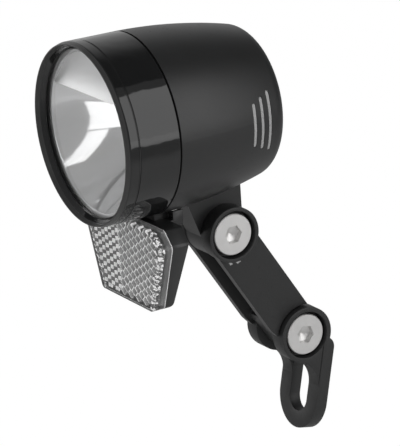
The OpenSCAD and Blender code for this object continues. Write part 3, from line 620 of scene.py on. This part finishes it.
nodeFinish = {
    "housing": satinHousing, "bezel": glossBezel, "front_lens": lensClear, "lens_seal": blackRubber,
    "seam_seal": blackRubber, "main_reflector": mirrorFilm, "reflector_hood": satinFilm,
    "led_board": boardGreen, "led_package": ledPhosphor, "heat_sink": sinkAluminium,
    "driver_board": boardGreen, "driver_parts": driverDark, "board_screws": boltSteel,
    "side_light_left": sideClear, "side_light_right": sideClear, "cable_grommet": blackRubber,
    "reflex_lens": reflexClear, "reflex_holder": satinHolder, "upper_bolt": boltSteel,
    "upper_nut": boltSteel, "arm": coatedArm, "lower_bolt": boltSteel, "lower_nut": boltSteel,
    "fork_bracket": coatedArm,
}
for node, material in nodeFinish.items():
    dress(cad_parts[node], material)
print("nodes dressed:", len(nodeFinish))

edgeLooks = {                                       # rounded edges that catch the light, width in mm
    "arm": {"piece": "armBody", "body": "arm", "slot": "arm_black",
            "width": 0.30, "steps": 2, "angle": 40},
    "fork_bracket": {"piece": "forkPlate", "body": "bracket", "slot": "bracket_black",
                     "width": 0.30, "steps": 2, "angle": 40},
    "reflex_lens": {"piece": "reflexFace", "body": "head", "slot": "reflex_clear",
                    "width": 0.22, "steps": 2, "angle": 30},
    "reflex_holder": {"piece": "reflexShell", "body": "head", "slot": "holder_black",
                      "width": 0.25, "steps": 2, "angle": 30},
    "main_reflector": {"piece": "bowlMirror", "body": "head", "slot": "reflector_bright",
                       "width": 0.08, "steps": 1, "angle": 40},
}
shadedLooks = {                                     # plain copies: the dome's middle is shaded smoothly
    "housing": {"piece": "lampShell", "body": "head", "slot": "body_satin"},
    "led_package": {"piece": "ledDome", "body": "head", "slot": "led_yellow"},
    "upper_bolt": {"piece": "upperBoltHead", "body": "arm", "slot": "bolt_steel"},
    "lower_bolt": {"piece": "lowerBoltHead", "body": "bracket", "slot": "bolt_steel"},
}
for makeCopy, looks in ((softEdges, edgeLooks), (shadedCopy, shadedLooks)):
    for node, look in looks.items():
        made = makeCopy(node, look)
        dress(made, nodeFinish[node])
        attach(made, look["body"])
        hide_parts(node)
    print("copies of:", ", ".join(looks))


# studio

studio = {
    "floorDrop": 0.20,                              # the lamp is held up, as on its fork
    "floorHalf": 6, "floorParts": 8,
    "floorTone": 0.60, "floorRough": 0.9,
    "floorWhite": 1.02, "floorShare": 0.97,         # how white the camera sees the floor
    "ambient": 0.55, "roomFront": 0.34, "roomRear": 0.02, "paper": 0.62,
    "paperRange": (0.05, 0.75),                     # white paper behind the lamp, seen in gloss and glass
    "fadeRange": (0.1, 0.5), "fade": 0.8,           # it fades to the right
    "rearRange": (-0.2, 0.3),                       # the room darkens to the rear
    "aim": (0, -0.035, 0.06),
    "panelPlace": (0.46, 0.24, 0.25), "panelSize": (0.36, 0.62), "panelGlow": 1.8,
    "haloPlace": (0.47, 0.245, 0.31), "haloSize": (0.38, 0.74), "haloGlow": 0.3,   # soft border of the panel
    "leftPlace": (-0.38, -0.285, 0.127), "leftSize": (0.22, 0.13), "leftGlow": 3.8,   # seen in the hood
    "topPlace": (0.05, -0.20, 0.75), "topSize": (0.5, 0.5), "topGlow": 1.2,
    "stripReach": 0.38, "stripGlow": 1.65,          # two soft boxes left of the camera, seen in the bowl
    "strips": {"stripHigh": (35, 47, 10, 48), "stripLow": (22, 47, -36, 8.6)},   # turns and rises, degrees
}


def softLight(name, place, size, glow, target):
    data = bpy.data.lights.new(name, "AREA")
    data.shape = "RECTANGLE"
    data.size, data.size_y = size
    data.energy = glow * math.pi * size[0] * size[1]
    lamp = newObject(name, data)
    lamp.location = place
    lamp.rotation_euler = (Vector(place) - Vector(target)).to_track_quat("Z", "Y").to_euler()
    return lamp


def makeFloor():
    parts = studio["floorParts"]
    work = bmesh.new()
    bmesh.ops.create_grid(work, x_segments=parts, y_segments=parts, size=studio["floorHalf"])
    mesh = workMesh("floor", work)
    mesh.transform(Matrix.Translation((0, 0, cadBox[0][2] - studio["floorDrop"])))
    floor = newObject("floor", mesh)
    material, shader, place = newFinish("paleFloor", {"Base Color": grey(studio["floorTone"]),
                                                      "Roughness": studio["floorRough"]})
    seen = place.node("ShaderNodeLightPath", {}, {}, "Is Camera Ray")
    lit = place.node("ShaderNodeEmission", {}, {"Color": grey(1.0), "Strength": studio["floorWhite"]})
    shadowed = Wire(place.tree, shader.outputs[0])
    showShader(place.node("ShaderNodeMixShader", {}, {0: seen * studio["floorShare"], 1: shadowed, 2: lit}))
    dress(floor, material)


def setWorld():
    world = bpy.data.worlds.new("studio")
    world.use_nodes = True
    scene.world = world
    tree = world.node_tree
    direction = Wire(tree).node("ShaderNodeTexCoord", {}, {}, "Generated")
    seen, glossy, through = (direction.node("ShaderNodeLightPath", {}, {}, "Is %s Ray" % kind)
                             for kind in ("Camera", "Glossy", "Transmission"))
    mirrored = direction.math("MINIMUM", glossy + through, 1.0)
    away = direction.vector("DOT_PRODUCT", tuple(-towardCamera), 1)
    rightward = direction.vector("DOT_PRODUCT", view["right"], 1)
    fading = rightward.between(*studio["fadeRange"]) * studio["fade"]
    backdrop = away.between(*studio["paperRange"]) * (1 - fading)
    rearward = direction.part(1).between(*studio["rearRange"])
    room = studio["roomFront"] + rearward * (studio["roomRear"] - studio["roomFront"])
    paper = backdrop * studio["paper"] + (1 - backdrop) * room
    strength = seen + (1 - seen) * (mirrored * paper + (1 - mirrored) * studio["ambient"])
    background = tree.nodes["Background"]
    direction.plug(strength, background.inputs["Strength"])
    direction.plug(grey(1.0), background.inputs["Color"])


setWorld()
makeFloor()
for name in ("panel", "halo", "left", "top"):
    place, size, glow = (studio[name + value] for value in ("Place", "Size", "Glow"))
    lamp = softLight(name, place, size, glow, studio["aim"])
    if name == "top":                                        # lights the lamp, but isn't mirrored in it
        lamp.visible_glossy = False
        lamp.visible_transmission = False
reach = studio["stripReach"]
for name, (turnFrom, turnTo, riseFrom, riseTo) in studio["strips"].items():
    turn = math.radians((turnFrom + turnTo) / 2)
    low, high = (reach * math.tan(math.radians(rise)) for rise in (riseFrom, riseTo))
    middle = lampOrigin + Vector((reach * math.sin(turn), -reach * math.cos(turn), (low + high) / 2))
    width = 2 * reach * math.tan(math.radians((turnTo - turnFrom) / 2))
    softLight(name, middle, (width, high - low), studio["stripGlow"], (0, lampOrigin.y, middle.z))
print("studio lit")
